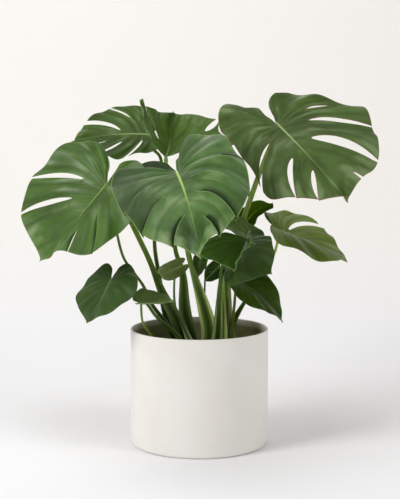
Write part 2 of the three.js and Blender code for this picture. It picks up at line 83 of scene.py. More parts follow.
LEAVES = [
    dict(name="left", at=(-173, 30, 491), turn=(209, -48, 7), size=(200, 303), back=0.26, arch=-5,
         left=flap(32, -80, [1, 1, 1, 0.95, 1, 1.35],
                   [(0.53, 0.5, 0.8, 7, 0), (0.695, 0.5, 1, 5, 0.5), (0.8, 0.65, 1, 9, 0.5)]),
         right=flap(32, -5, [0.9, 1.1, 1.05, 0.95, 0.95, 1.05],
                    [(0.56, 0.3, 1, 15, 0.15), (0.745, 0.3, 1, 15, 0.15)]),
         radius=(7.4, 4.4), root=(-20, 4),
         path=[(-36, 6, 220), (-68, 10, 280), (-96, 18, 348), (-122, 27, 401)]),
    dict(name="front", at=(-40, -108, 517), turn=(-78, -19, 0), size=(249, 249), back=0.38, arch=27,
         left=flap(52, -46, [1, 1, 0.95, 0.9, 1, 1.2],
                   [(0.575, 0.65, 1, 5, 0.3), (0.72, 0.15, 1, 7, 0.7), (0.83, 0.2, 1, 6, 0.4),
                    (0.905, 0.45, 1, 6, 0.8)]),
         right=flap(-9, -14, [1, 1.05, 1.1, 0.95, 0.9, 1],
                    [(0.62, 0.45, 1, 8, 0.5), (0.77, 0.3, 1, 9, 0.8), (0.9, 0.2, 1, 17, 0.6)]),
         radius=(8, 4.2), root=(16, -14),
         path=[(18, -14, 220), (9, -22, 261), (-18, -52, 356), (-29, -74, 417)]),
    dict(name="right", at=(144, 10, 603), turn=(-60, -28, -14), size=(255, 285), back=0.35, arch=8,
         left=flap(15, -15, [1.1, 0.9, 0.85, 1.1, 1.05, 1.15],
                   [(0.42, 0.45, 0.8, 13, 0), (0.59, 0.3, 1, 17, 0.1), (0.77, 0.2, 1, 36, 0.12),
                    (0.89, 0.8, 1, 6, 1)]),
         right=flap(13, -42, [1.05, 1.05, 0.85, 0.75, 0.85, 1.3],
                    [(0.69, 0.3, 1, 22, 0.5), (0.83, 0.3, 1, 15, 0.1), (0.905, 0.3, 1, 15, 0.1)]),
         radius=(9, 4.4), root=(40, 10),
         path=[(47, 22, 240), (49, 36, 301), (90, 47, 437), (117, 38, 516), (136, 20, 564)]),
    dict(name="back_left", at=(-103, 150, 581), turn=(191, 4, 38), size=(153, 153), back=0.15, arch=25,
         left=flap(12, -14, [1, 1, 0.95, 0.9, 1.1, 1],
                   [(0.49, 0.3, 1, 12, 0.9), (0.72, 0.4, 1, 10, 0.9), (0.83, 0.4, 0.8, 5, 0)]),
         right=flap(13, -9, [1, 1, 0.9, 1.03, 1.03, 1.05],
                    [(0.575, 0.5, 1, 7, 0.5), (0.8, 0.15, 1, 14, 0.8)]),
         radius=(5, 3), root=(-34, 36),
         path=[(-65, 46, 234), (-77, 58, 305), (-87, 72, 376), (-79, 108, 476), (-77, 130, 536)]),
    dict(name="back", at=(-65, 70, 538), turn=(84, 10, 0), size=(150, 249), back=0.12, arch=-57,
         left=flap(52, 29, [0.93, 0.8, 0.72, 0.85, 0.99, 1.09], [(0.68, 0.27, 1, 27, 1.25)]),
         right=flap(27, -29, [1.01, 1.06, 1.15, 1.18, 0.9, 1.24], [(0.717, 0.7, 1, 23, 0.45)]),
         radius=(6.2, 3.6), root=(-12, 32),
         path=[(-28, 34, 251), (-32, 44, 316), (-46, 54, 361), (-50, 62, 427)]),
    dict(name="low_left", at=(-163, -40, 317), turn=(233, -52, -9), size=(100, 125), back=0.32, arch=-9,
         left=flap(6, -34, [1, 1.05, 1, 1.1, 1, 1]), right=flap(6, -2, [1, 1, 0.95, 1, 1.1, 0.9]),
         radius=(5, 2.4), root=(-24, -14),
         path=[(-37, -14, 201), (-80, -16, 242), (-102, -18, 271), (-133, -20, 292)]),
    dict(name="low_front", at=(-110, -52, 273), turn=(11, -1, 5), size=(68, 83), back=0.16, arch=-5,
         left=flap(28, 10, [1, 1, 1, 1.1, 1, 0.95]), right=flap(4, -3), radius=(3.6, 2), root=(-66, -30),
         path=[(-90, -46, 212), (-104, -56, 238)]),
    dict(name="olive", at=(-37, -30, 339), turn=(234, -15, 42), size=(98, 34), back=0.24, arch=-40,
         left=flap(-14, -36), right=flap(26, -14), radius=(4, 1.8), root=(-4, -28),
         path=[(-25, -18, 213), (-45, -20, 262)]),
    dict(name="heart", at=(85, -108, 398), turn=(-125, -59, -25), size=(68, 158), back=0.08, arch=-11,
         left=flap(35, -25, [0.9, 0.7, 0.6, 0.7, 1, 1.1]),
         right=flap(43, -20, [1.02, 0.93, 0.83, 0.89, 1.15, 1.56]), radius=(5.4, 2.6), root=(30, -34),
         path=[(35, -52, 230), (37, -76, 300), (42, -96, 350), (60, -106, 380)]),
    dict(name="dark", at=(78, -45, 378), turn=(-79, -11, -56), size=(107, 114), back=0.17, arch=49,
         left=flap(-11, -49, [1, 1, 1, 0.97, 0.87, 0.92]), right=flap(8, -10, [1, 1, 1, 1.1, 1.23, 0.96]),
         radius=(5.5, 2.6), root=(44, -10), path=[(45, -8, 250), (47, -10, 310), (58, -18, 348)]),
    dict(name="low_right", at=(73, -5, 306), turn=(2, -24, -18), size=(120, 101), back=0.18, arch=39,
         left=flap(19, 14, [1, 1, 1, 1, 1.07, 1]), right=flap(15, -40, [1, 1, 0.95, 1.14, 1.04, 0.88]),
         radius=(5, 2.4), root=(62, 2), path=[(62, 4, 215), (66, 0, 262)]),
    dict(name="round", at=(92, 72, 415), turn=(38, 45, -1), size=(76, 83), back=0.21, arch=41,
         left=flap(19, -12, [1, 0.98, 0.96, 0.92, 0.81, 1.27]),
         right=flap(15, -10, [1, 1.04, 1.1, 0.75, 1.14, 0.91]), radius=(3.6, 2.2), root=(32, 38),
         path=[(40, 40, 227), (63, 45, 304)]),
    dict(name="far_right", at=(152, 46, 395), turn=(1, -19, 22), size=(144, 266), back=0.18, arch=10,
         left=flap(51, -18, [0.85, 1.3, 0.7, 0.88, 0.97, 0.79], [(0.624, 0.17, 1, 16, 1.12)]),
         right=flap(-2, -55, [1, 0.95, 1.1, 0.91, 1.06, 1.33]), radius=(4.5, 2.4), root=(54, 24),
         path=[(58, 32, 200), (67, 42, 226), (87, 58, 258), (114, 66, 302), (142, 46, 350)]),
    dict(name="upper", at=(104, 9, 388), turn=(181, 29, 21), size=(82, 75), back=0.2, arch=15,
         left=flap(11, 1), right=flap(11, 8, [1, 1, 1, 0.87, 1.13, 1]), radius=(4.6, 2.2), root=(27, 18),
         path=[(38, 12, 240), (46, 12, 300), (64, 14, 350)]),
    dict(name="hidden_left", at=(-164, 100, 421), turn=(170, 10, 20), size=(92, 82), back=0.2, arch=20,
         left=flap(15, -10), right=flap(15, -10), radius=(4.6, 2.4), root=(-38, 18),
         path=[(-58, 26, 213), (-94, 40, 262), (-108, 48, 292), (-146, 66, 343), (-161, 84, 391)]),
    dict(name="small_middle", at=(38, -66, 344), turn=(192, -38, -75), size=(42, 36), back=0.12, arch=20,
         left=flap(12, -15), right=flap(12, -15), radius=(2.6, 1.6), root=(22, -24),
         path=[(27, -34, 205), (31, -46, 260), (36, -60, 308)]),
    dict(name="small_back", at=(6, 4, 357), turn=(215, -68, 10), size=(46, 38), back=0.1, arch=15,
         left=flap(15, -20), right=flap(15, -20), radius=(2.8, 1.6), root=(6, 12),
         path=[(7, 10, 197), (9, 12, 260), (11, 10, 318)]),
]

# Finish of each leaf, in the order of LOOK_PARTS: the record's slots for blade and stalk, the
# colours of blade, darker patches and painted shade, ribs, margin, underside and painted
# highlights, the sheath's pale edges, the stalk's lower and upper colour, how strong the blade's
# painted highlight and shade bands are, and its roughness and gloss.
LOOK_PARTS = ("blade_slot", "stalk_slot", "blade", "deep", "rib", "edge", "under", "sheath",
              "stalk_low", "stalk_high", "contrast", "rough", "shine")
LOOK_ROWS = {
    "left": ("light_blade", "light_stalk", "#4d6e2b", "#314a17", "#9db573", "#6f8a4c",
             "#7d9463", "#7f9656", "#69812b", "#769332", 0.5, 0.36, 0.24),
    "front": ("light_blade", "light_stalk", "#4d7134", "#2b4619", "#a9c867", "#7f9a55",
              "#7d9463", "#c0cf80", "#5b7329", "#719131", 0.8, 0.32, 0.24),
    "right": ("mid_blade", "light_stalk", "#486226", "#2e4214", "#93a868", "#7d5a3c",
              "#74885a", "#c4d18c", "#788f3c", "#92ab4e", 0.7, 0.42, 0.16),
    "back_left": ("mid_blade", "dark_stalk", "#405e10", "#283f06", "#8aa55c", "#5d7a40",
                  "#6f8557", "#6f8648", "#3a5118", "#7e9844", 0.6, 0.36, 0.22),
    "back": ("mid_blade", "dark_stalk", "#56732a", "#374e17", "#7f9b55", "#55713c",
             "#6b8255", "#8ea365", "#5f801d", "#719324", 0.6, 0.34, 0.15),
    "low_left": ("dark_blade", "dark_stalk", "#486130", "#354b21", "#5f8048", "#3f5f31",
                 "#5f7a4c", "#6f8648", "#5d771d", "#749628", 0.25, 0.33, 0.16),
    "low_front": ("olive_blade", "light_stalk", "#779338", "#5a7327", "#8fa96a", "#7d9a55",
                  "#6b8457", "#6f8648", "#738d32", "#839e38", 0.5, 0.36, 0.2),
    "olive": ("olive_blade", "dark_stalk", "#829351", "#62733a", "#8fa565", "#7f9a55",
              "#6f8852", "#b4c08c", "#3d5b1a", "#537325", 0.4, 0.4, 0.15),
    "heart": ("dark_blade", "dark_stalk", "#4b6b23", "#375317", "#5a7a44", "#7fa055",
              "#4f6a40", "#8ea365", "#2f4209", "#40590f", 0.3, 0.32, 0.1),
    "dark": ("dark_blade", "light_stalk", "#4f6732", "#3a5023", "#4c6b3a", "#4c6b38",
             "#47613a", "#a9ba78", "#b4ce5b", "#81a141", 0.4, 0.33, 0.12),
    "low_right": ("dark_blade", "light_stalk", "#3a5312", "#2a400a", "#54733e", "#4f6d3a",
                  "#4c663c", "#8aa05a", "#96a348", "#6c7f32", 0.25, 0.33, 0.08),
    "round": ("dark_blade", "dark_stalk", "#385008", "#283e04", "#5f7a1c", "#4f6d3a",
              "#40560c", "#6f8648", "#304417", "#405c20", 0.25, 0.36, 0.0),
    "far_right": ("olive_blade", "dark_stalk", "#6d852e", "#475b19", "#8ba058", "#7d8f4c",
                  "#7f8d55", "#6f8648", "#61891f", "#b7df40", 0.5, 0.44, 0.12),
    "upper": ("dark_blade", "dark_stalk", "#60783c", "#485e2a", "#4c6b3a", "#46643a",
              "#4c663c", "#6f8648", "#304417", "#405c20", 0.25, 0.36, 0.1),
    "hidden_left": ("mid_blade", "dark_stalk", "#38562a", "#23401b", "#7f9b55", "#5d7a40",
                    "#6b8255", "#6f8648", "#6a7c3d", "#80914a", 0.25, 0.36, 0.2),
    "small_middle": ("dark_blade", "dark_stalk", "#112101", "#0a1801", "#54733e", "#6f9050",
                     "#1f3808", "#8ea365", "#2e4011", "#3c5818", 0.25, 0.34, 0.08),
    "small_back": ("dark_blade", "dark_stalk", "#3c5515", "#2c420c", "#54733e", "#4f6d3a",
                   "#4f6a40", "#6f8648", "#2e4011", "#3c5818", 0.25, 0.34, 0.08),
}
LOOKS = {name: dict(zip(LOOK_PARTS, row)) for name, row in LOOK_ROWS.items()}

# How each blade's surface swells: quilting between side veins, cupping of the lobes, how far
# neighbouring lobes lie over each other, and waves, in millimetres. Then, for the two halves: how
# open the slits stay (below 0 the lobes overlap), how wide the painted shadow is that the next lobe
# casts on a lobe (below 0 the one before), how dark the painted shade on the back lobe is, and how
# dark the painted shade on the outer part of the half is. A cut leaf's row changes what it names.
PLAIN_FORM = dict(quilt=1.3, cupped=2.6, shingle=0.0, wave=2.2,
                  open=(1, 1), shaded=(0, 0), back_shade=(0, 0), dim=(0, 0))
FORMS = {
    "left": dict(quilt=2.7, cupped=4.0, shingle=1.8, wave=5.0, open=(0.35, 1), shaded=(-8, 0)),
    "front": dict(quilt=3.6, cupped=6.0, shingle=-4.6, wave=4.2, open=(-0.6, 0.1), shaded=(19, 14),
                  back_shade=(0, 0.8), dim=(0.1, 0.42)),
    "right": dict(quilt=2.6, cupped=3.6, shingle=1.2, wave=5.4),
    "back_left": dict(quilt=2.0, cupped=3.0, shingle=0.8, wave=3.0),
    "back": dict(quilt=2.4, cupped=4.0, shingle=1.5, wave=3.0),
}

# The open side of each stalk's sheath faces the plant's front. Its two pale edges stand out from
# the stalk by a share of the stalk's radius.
SHEATH_SIDE = -math.pi / 2
PLAIN_WING = 0.45
WINGS = dict(front=1.7, right=1.5, left=1.3, back=1.8, heart=1.5, dark=1.5, low_right=1.4, olive=2.0,
             upper=1.8, round=1.5, far_right=1.2, small_middle=1.6, small_back=1.6)

# Side veins lie VEIN_SPACING of the margin apart, and directions along it are taken over
# PLACE_STEP. Blades wider than LARGE_BLADE get the finer grid of columns and rows, and narrower
# ones than FULL_RELIEF get less relief. Quilting fades where side veins lie closer together than
# BROAD_SPAN, waves are counted along the margin, and the groove lies over the midrib.
VEIN_SPACING = 0.11
PLACE_STEP = 0.004
LARGE_BLADE = 130
BLADE_GRID = dict(large=(96, 26), small=(48, 16))
FULL_RELIEF = 200
BROAD_SPAN = 9
WAVES = 5.3
SLOW_WAVES = 2.1
GROOVE_DEPTH = 0.7
GROOVE_WIDTH = 2.5

# A stalk is swept in steps, and flares where it meets its blade.
STALK_STEP = 5
FLARE = 0.12
FLARE_LENGTH = 14

POT_SEGMENTS = 144
POT_RINGS = range(20, 216, 14)
POT_INNER_RINGS = (212, 205, 196, 184, 172, 150, 100, 50)
SOIL_SEGMENTS = 120
SOIL_RINGS = 46
SOIL_SEED = 5

# ---- camera and light
# Places and sizes in metres, the sensor and the lens in millimetres, the tilt in degrees.
CAMERA_PLACE = (0.0012, -2.2, 0.601)
CAMERA_TILT = 6.06
SENSOR_HEIGHT = 36
LENS = 85

FLOOR_FRONT, FLOOR_BACK = -3.2, 0.7
SWEEP_RADIUS = 0.9
WALL_HEIGHT = 4.5
SWEEP_HALF_WIDTH = 6

# Each lamp's name, place, aim, width and height, power, and colour.
LAMPS = (
    ("soft_light_left", (-2.3, -1.6, 1.8), (0, 0, 0.35), (1.1, 1.1), 54, (1.0, 0.995, 0.99)),
    ("soft_light_right", (2.5, -1.6, 1.5), (0, 0, 0.3), (1.3, 1.3), 27, (1.0, 0.99, 0.975)),
    ("soft_light_above", (-0.3, -0.6, 3.0), (0, 0.1, 0.3), (1.8, 1.8), 27, (1.0, 0.99, 0.975)),
    ("wall_light", (0, 0.5, 2.9), (0, 1.7, 1.2), (4.0, 0.6), 7, (1.0, 0.985, 0.965)),
)
ROOM_COLOUR = (1.0, 0.985, 0.965, 1)
ROOM_STRENGTH = 0.2


# ---- colours and wiring
def paint(hex_colour):
    """A colour as seen, turned into the numbers that materials take."""
    parts = [int(hex_colour[i:i + 2], 16) / 255 for i in (1, 3, 5)]
    return [p / 12.92 if p <= 0.04045 else ((p + 0.055) / 1.055) ** 2.4 for p in parts] + [1.0]


class Wiring:
    """Short ways to place and join the nodes of one tree."""

    def __init__(self, tree):
        self.tree = tree
        tree.nodes.clear()

    def node(self, kind, inputs=None, **settings):
        made = self.tree.nodes.new(kind)
        for key, value in settings.items():
            setattr(made, key, value)
        for key, value in (inputs or {}).items():
            self.feed(made.inputs[key], value)
        return made

    def feed(self, socket, value):
        if isinstance(value, bpy.types.NodeSocket):
            self.tree.links.new(value, socket)
        else:
            socket.default_value = value

    def made(self, kind, inputs=None, **settings):
        return self.node(kind, inputs, **settings).outputs[0]

    def math(self, operation, a, b=0.0):
        return self.made("ShaderNodeMath", {0: a, 1: b}, operation=operation)

    def times(self, a, b):
        return self.math("MULTIPLY", a, b)

    def plus(self, a, b):
        return self.math("ADD", a, b)

    def step(self, value, low, high, out_low=0.0, out_high=1.0):
        return self.made("ShaderNodeMapRange",
                         {"Value": value, "From Min": low, "From Max": high,
                          "To Min": out_low, "To Max": out_high}, interpolation_type="SMOOTHSTEP")

    def mix(self, share, a, b):
        made = self.node("ShaderNodeMix", data_type="RGBA")
        self.feed(made.inputs[0], share)
        self.feed(made.inputs[6], a)
        self.feed(made.inputs[7], b)
        return made.outputs[2]

    def value(self, name):
        return self.node("ShaderNodeAttribute", attribute_name=name).outputs["Fac"]

    def noise(self, place, scale, detail=3.0, rough=0.5, lean=0.0):
        return self.node("ShaderNodeTexNoise", {"Vector": place, "Scale": scale, "Detail": detail,
                                                "Roughness": rough, "Distortion": lean}).outputs["Fac"]

    def place(self, scale=(1, 1, 1)):
        spot = self.node("ShaderNodeTexCoord").outputs["Object"]
        return self.made("ShaderNodeMapping", {"Vector": spot, "Scale": scale})

    def bump(self, height, strength, distance):
        return self.made("ShaderNodeBump", {"Strength": strength, "Distance": distance, "Height": height})

    def finish(self, **sockets):
        surface = self.made("ShaderNodeBsdfPrincipled",
                            {key.replace("_", " "): value for key, value in sockets.items()})
        self.node("ShaderNodeOutputMaterial", {"Surface": surface})


def new_finish(name):
    made = bpy.data.materials.new(name)
    made.use_nodes = True
    return made, Wiring(made.node_tree)


def tones(look):
    """The look's colours as numbers, by their names."""
    return {part: paint(value) for part, value in look.items() if str(value).startswith("#")}


def blade_finish(name, look):
    """Green blade: patches, painted highlight and shade bands, quilted side veins, pale midrib, painted
    shade, thin margin and paler underside.
    """
    made, w = new_finish(name)
    tone = tones(look)
    place = w.place()
    vein, span, reach = w.value("vein"), w.value("span"), w.value("reach")
    rib, edge, under = w.value("rib"), w.value("edge"), w.value("under")
    share, shade = w.value("share"), w.value("shade")

    # Soft patches, then painted highlights and painted shade in bands that run out along the side veins; the
    # highlights take the underside's paler colour.
    patches = w.step(w.noise(place, 11, 3, 0.5), 0.34, 0.68)
    colour = w.mix(w.times(patches, 0.8), tone["blade"], tone["deep"])
    run = w.made("ShaderNodeCombineXYZ", {"X": w.times(vein, 1.3), "Y": w.times(reach, 1.6)})
    highlight_and_shade_bands = w.noise(run, 1.0, 2, 0.5)
    colour = w.mix(w.step(highlight_and_shade_bands, 0.5, 0.3, 0, look["contrast"]), colour, tone["deep"])
    colour = w.mix(w.step(highlight_and_shade_bands, 0.5, 0.72, 0, look["contrast"]), colour, tone["under"])
    fine = w.noise(place, 240, 3, 0.6)
    colour = w.mix(w.step(fine, 0.4, 0.75, 0, 0.04), colour, tone["rib"])

    # Pale side veins, each with a dark strip beside it, and the midrib.
    offset = w.math("ABSOLUTE", w.math("SUBTRACT", w.math("FRACT", vein), 0.5))
    from_vein = w.times(offset, span)
    on_vein = w.step(from_vein, 0.3, 0.95, 1, 0)
    fading = w.step(reach, 0.12, 0.85, 0.5, 0.05)
    colour = w.mix(w.times(on_vein, fading), colour, tone["rib"])
    beside = w.step(from_vein, 0.8, 7.0, 0.5, 0)
    colour = w.mix(beside, colour, tone["deep"])
    width = w.step(share, 0.0, 1.0, 2.6, 0.8)
    on_rib = w.step(w.math("DIVIDE", rib, width), 0.7, 1.15, 1, 0)
    paling = w.step(share, 0.1, 0.6, 0.95, 0.2)
    colour = w.mix(w.times(on_rib, paling), colour, tone["rib"])

    # The painted shade under a lobe, on the back lobe and on the outer part of a half, then the underside
    # and the thin margin.
    darkest = w.mix(0.75, tone["deep"], paint("#0b1407"))
    colour = w.mix(w.times(shade, 0.95), colour, darkest)
    half_green = w.mix(0.5, tone["under"], tone["blade"])
    below = w.mix(w.step(w.noise(place, 60, 3, 0.5), 0.35, 0.7, 0, 0.5), tone["under"], half_green)
    below = w.mix(w.times(on_vein, 0.5), below, tone["rib"])
    below = w.mix(w.times(on_rib, 0.8), below, tone["rib"])
    colour = w.mix(under, colour, below)
    colour = w.mix(w.step(edge, 0.5, 1.5, 0.8, 0), colour, tone["edge"])

    rough = w.step(highlight_and_shade_bands, 0.35, 0.65, look["rough"] + 0.1, look["rough"] - 0.05)
    rough = w.plus(rough, w.times(under, 0.22))
    rough = w.math("MAXIMUM", rough, w.times(shade, 0.95))
    sunk = w.times(on_vein, -0.5)
    pores = w.times(w.noise(place, 900, 2, 0.6), 0.05)
    net = w.times(w.noise(place, 55, 1, 0.4, 0.3), 0.8)
    height = w.plus(sunk, w.plus(pores, net))
    w.finish(Base_Color=colour, Roughness=rough, Specular_IOR_Level=look["shine"],
             Normal=w.bump(height, 0.35, 0.0007))
    return made


def stalk_finish(name, look):
    """Leaf stalk: long streaks, paler towards the joint, with small pale flecks, and painted shade in its
    sheath's trough and at its foot.
    """
    made, w = new_finish(name)
    tone = tones(look)
    shadow = paint("#1c2a0c")
    share = w.value("along_stalk")
    streaks = w.noise(w.place((1, 1, 0.05)), 420, 3, 0.6)
    clouds = w.noise(w.place(), 30, 2, 0.5)
    flecks = w.node("ShaderNodeTexVoronoi", {"Vector": w.place((1, 1, 0.3)), "Scale": 380.0})
    flecks = flecks.outputs["Distance"]
    colour = w.mix(w.step(share, 0.1, 0.95), tone["stalk_low"], tone["stalk_high"])
    colour = w.mix(w.step(streaks, 0.35, 0.7, 0, 0.45), colour, tone["deep"])
    colour = w.mix(w.step(clouds, 0.4, 0.7, 0, 0.3), colour, tone["blade"])
    colour = w.mix(w.step(flecks, 0.1, 0.25, 0.2, 0), colour, tone["rib"])
    colour = w.mix(w.step(share, 0.93, 0.985, 0, 0.8), colour, tone["rib"])

    # The sheath: painted shade in its trough below 0, its pale edges above 0. The foot of the stalk gets
    # painted shade.
    sheath = w.times(w.value("sheath"), w.step(share, 0.3, 0.66, 1, 0))
    trough = w.mix(0.35, tone["deep"], shadow)
    colour = w.mix(w.step(sheath, 0.0, -0.7, 0, 0.75), colour, trough)
    colour = w.mix(w.step(sheath, 0.2, 0.75, 0, 0.95), colour, tone["sheath"])
    colour = w.mix(w.step(share, 0.12, 0.3, 0.6, 0), colour, shadow)
    rough = w.step(streaks, 0.3, 0.7, 0.36, 0.5)
    w.finish(Base_Color=colour, Roughness=rough, Specular_IOR_Level=0.28,
             Normal=w.bump(w.plus(streaks, w.times(flecks, 0.3)), 0.35, 0.0006))
    return made


def pot_finish():
    """Warm white stoneware with a fine matte grain, and painted shade with a painted green reflection on its
    inner wall.
    """
    made, w = new_finish("matte_white_stoneware")
    place = w.place()
    cloud = w.noise(place, 9, 4, 0.5)
    grain = w.noise(place, 1400, 2, 0.6)
    colour = w.mix(w.step(cloud, 0.3, 0.7, 0, 1), paint("#f0ede8"), paint("#ebe7e1"))
    colour = w.mix(w.step(grain, 0.55, 0.8, 0, 0.25), colour, paint("#d2cabd"))
    inside = w.value("inside")
    # Painted shade and a painted green reflection of the leaves on the inner wall, fading out below the rim.
    inner_shade_and_reflection = w.times(inside, w.step(w.noise(place, 34, 4, 0.6), 0.2, 0.7, 0.8, 1.0))
    colour = w.mix(inner_shade_and_reflection, colour, paint("#8b8858"))
    rough = w.plus(w.step(cloud, 0.3, 0.7, 0.5, 0.58), w.times(inside, 0.2))
    w.finish(Base_Color=colour, Roughness=rough, Specular_IOR_Level=0.4,
             Normal=w.bump(w.plus(grain, w.times(cloud, 0.6)), 0.18, 0.0004))
    return made


def soil_finish(name, light, dark, scale):
    """Crumbly brown filling in two tones, with pale specks."""
    made, w = new_finish(name)
    place = w.place()
    clods = w.noise(place, scale, 5, 0.65)
    colour = w.mix(w.step(clods, 0.35, 0.68), paint(dark), paint(light))
    specks = w.node("ShaderNodeTexVoronoi", {"Vector": place, "Scale": scale * 6}).outputs["Distance"]
    colour = w.mix(w.step(specks, 0.06, 0.14, 0.5, 0), colour, paint("#8b7a62"))
    w.finish(Base_Color=colour, Roughness=w.step(clods, 0.3, 0.7, 0.85, 0.98), Specular_IOR_Level=0.3,
             Normal=w.bump(w.plus(clods, w.times(specks, 0.4)), 0.8, 0.003))
    return made


def backdrop_finish():
    """Pale paper. Its back is clear, so that the plant can be looked at from behind it."""
    made, w = new_finish("backdrop_paper")
    spot = w.node("ShaderNodeSeparateXYZ", {0: w.node("ShaderNodeTexCoord").outputs["Object"]})
    colour = w.mix(w.step(spot.outputs["Z"], 0.0, 0.35), paint("#f5f5f8"), paint("#f8f6f2"))
    paper = w.made("ShaderNodeBsdfPrincipled", {"Base Color": colour, "Roughness": 0.9})
    clear = w.made("ShaderNodeBsdfTransparent")
    behind = w.node("ShaderNodeNewGeometry").outputs["Backfacing"]
    seen = w.made("ShaderNodeMixShader", {0: behind, 1: paper, 2: clear})
    w.node("ShaderNodeOutputMaterial", {"Surface": seen})
    return made


# ---- curves
def smooth(x, low, high):
    t = np.clip((x - low) / (high - low), 0, 1)
    return t * t * (3 - 2 * t)


def curve_through(points, per_span=48):
    """A centripetal curve through points: its samples, and how far along it each lies."""
    p = np.asarray(points, float)
    p = np.vstack([2 * p[0] - p[1], p, 2 * p[-1] - p[-2]])
    rows = []
    for i in range(1, len(p) - 2):
        p0, p1, p2, p3 = p[i - 1:i + 3]
        steps = ((p0, p1), (p1, p2), (p2, p3))
        d0, d1, d2 = (math.sqrt(max(1e-4, np.linalg.norm(b - a))) for a, b in steps)
        m1 = ((p1 - p0) / d0 - (p2 - p0) / (d0 + d1) + (p2 - p1) / d1) * d1
        m2 = ((p2 - p1) / d1 - (p3 - p1) / (d1 + d2) + (p3 - p2) / d2) * d1
        t = np.linspace(0, 1, per_span, endpoint=False)[:, None]
        square = 3 * (p2 - p1) - 2 * m1 - m2
        cube = 2 * (p1 - p2) + m1 + m2
        rows.append(p1 + m1 * t + square * t ** 2 + cube * t ** 3)
    samples = np.vstack(rows + [p[-2][None]])
    far = np.r_[0, np.cumsum(np.linalg.norm(np.diff(samples, axis=0), axis=1))]
    return samples, far


def along_curve(curve, share):
    samples, far = curve
    return np.stack([np.interp(np.asarray(share) * far[-1], far, samples[:, k])
                     for k in range(samples.shape[1])], -1)


# ---- the blade, laid flat
def margin_curve(leaf, half):
    """The outline of one half. Its drip tip narrows sooner than the one in the solids."""
    inner, back, outer, widest, shoulder, tip = half["shape"]
    length, width = leaf["size"]
    reach = leaf["back"]
    outline = [(0.016, -0.075 * reach * inner), (0.13, -0.62 * reach * inner), (0.4, -reach * back),
               (0.8 * outer, -0.55 * reach * back), (widest, 0.17), (0.93 * shoulder, 0.46),
               (0.62 * tip, 0.74), (0.12 * math.sqrt(tip), 0.93), (0.03, 0.968), (0, 1)]
    return curve_through([(u * width / 2, v * length) for u, v in outline])


def vein_start(place):
    return np.where(place < 0.25, 0.04 * place / 0.25,
                    0.04 + 0.86 * (np.clip(place - 0.25, 0, 1) / 0.75) ** 4)


def flat_points(leaf, margin, place, reach):
    """Points by their place along the margin and their reach from midrib to margin."""
    length = leaf["size"][0]
    end = along_curve(margin, place)
    start = np.stack([0 * place, vein_start(place) * length], -1)
    chord = end - start
    bow = 0.2 * np.clip((place - 0.12) / 0.25, 0, 1) * np.minimum(1, (1 - place) / 0.15)
    middle = (start + end) / 2 + np.stack([chord[..., 1], -chord[..., 0]], -1) * bow[..., None]
    r = reach[..., None]
    return (1 - r) ** 2 * start + 2 * r * (1 - r) * middle + r ** 2 * end


def is_deep(cut):
    return cut is not None and cut[1] <= 0.5 and cut[2] == 1


def cut_gap(cut, reach, openness):
    """Width of a slit or closed hole along the side veins, below 0 where deep slits' lobes overlap."""
    if cut is None:
        return 0 * reach
    _, start, end, gap, mouth = cut
    t = np.clip((reach - start) / (end - start), 0, 1)
    if end < 1:
        return np.where(reach < end, gap * np.sin(math.pi * t), 0)
    if openness < 0 and is_deep(cut):
        return gap * openness * smooth(t, 0, 0.6)
    width = gap * max(openness, 0) * np.sqrt(t * (2 - t)) * (1 - (1 - mouth) * t ** 2)
    return np.maximum(width, GAP * (reach > start))


def lobe_shade(cut, reach, aside, width):
    """How much painted shade a lobe gets beside a slit where the next lobe lies over it: a long lens."""
    if cut is None or cut[2] < 1 or width <= 0:
        return 0 * reach
    t = np.clip((reach - cut[1]) / (1 - cut[1]), 0, 1)
    band = width * (0.35 + 0.65 * np.sin(math.pi * t)) * smooth(t, 0, 0.2) + 0.01
    return (1 - smooth(aside, 0.45 * band, band)) * (t > 0)


# ---- the blade, in space
def midrib_frame(leaf):
    """Directions along the midrib, across the blade and up from it, at the joint."""
    heading, pitch, roll = (math.radians(x) for x in leaf["turn"])
    level = math.cos(pitch)
    along = Vector((level * math.cos(heading), level * math.sin(heading), math.sin(pitch)))
    across = along.cross(Vector((0, 0, 1))).normalized()
    turned = across * math.cos(-roll) + along.cross(across) * math.sin(-roll)
    return np.array(along), np.array(turned), np.array(turned.cross(along))


def arc_offset(length, start, turn):
    """How far forward and up an arc ends that sets off at an angle and turns evenly."""
    turn = np.where(np.abs(turn) < 1e-7, 1e-7, turn)
    end = start + turn * length
    return (np.sin(end) - np.sin(start)) / turn, (np.cos(start) - np.cos(end)) / turn


def bend(leaf, side, half, flat):
    """Turns flat points into the bent leaf: the midrib is one arc, each half another across it."""
    length, width = leaf["size"]
    along, across, up = midrib_frame(leaf)
    u, v = flat[..., 0], flat[..., 1]
    arch = -math.radians(leaf["arch"]) * np.where(v < 0, 0.6, 1) / length
    forward, rise = arc_offset(v, 0.0, arch)
    out, lift = arc_offset(u, math.radians(half["fold"]), math.radians(half["curl"]) / (width / 2))
    tilt = (arch * v)[..., None]
    normal = -np.sin(tilt) * along + np.cos(tilt) * up
    return (np.array(leaf["at"]) + along * forward[..., None] + up * rise[..., None]
            + across * (side * out)[..., None] + normal * lift[..., None])


# ---- the blade's mesh
def spread_values(low, high, count, marks, near):
    """Evenly spread values that give way to the marks close to them."""
    even = np.linspace(low, high, count)
    kept = [x for i, x in enumerate(even) if i in (0, count - 1) or all(abs(x - m) > near for m in marks)]
    return np.array(sorted(set(round(float(x), 6) for x in [*kept, *marks] if low <= x <= high)))


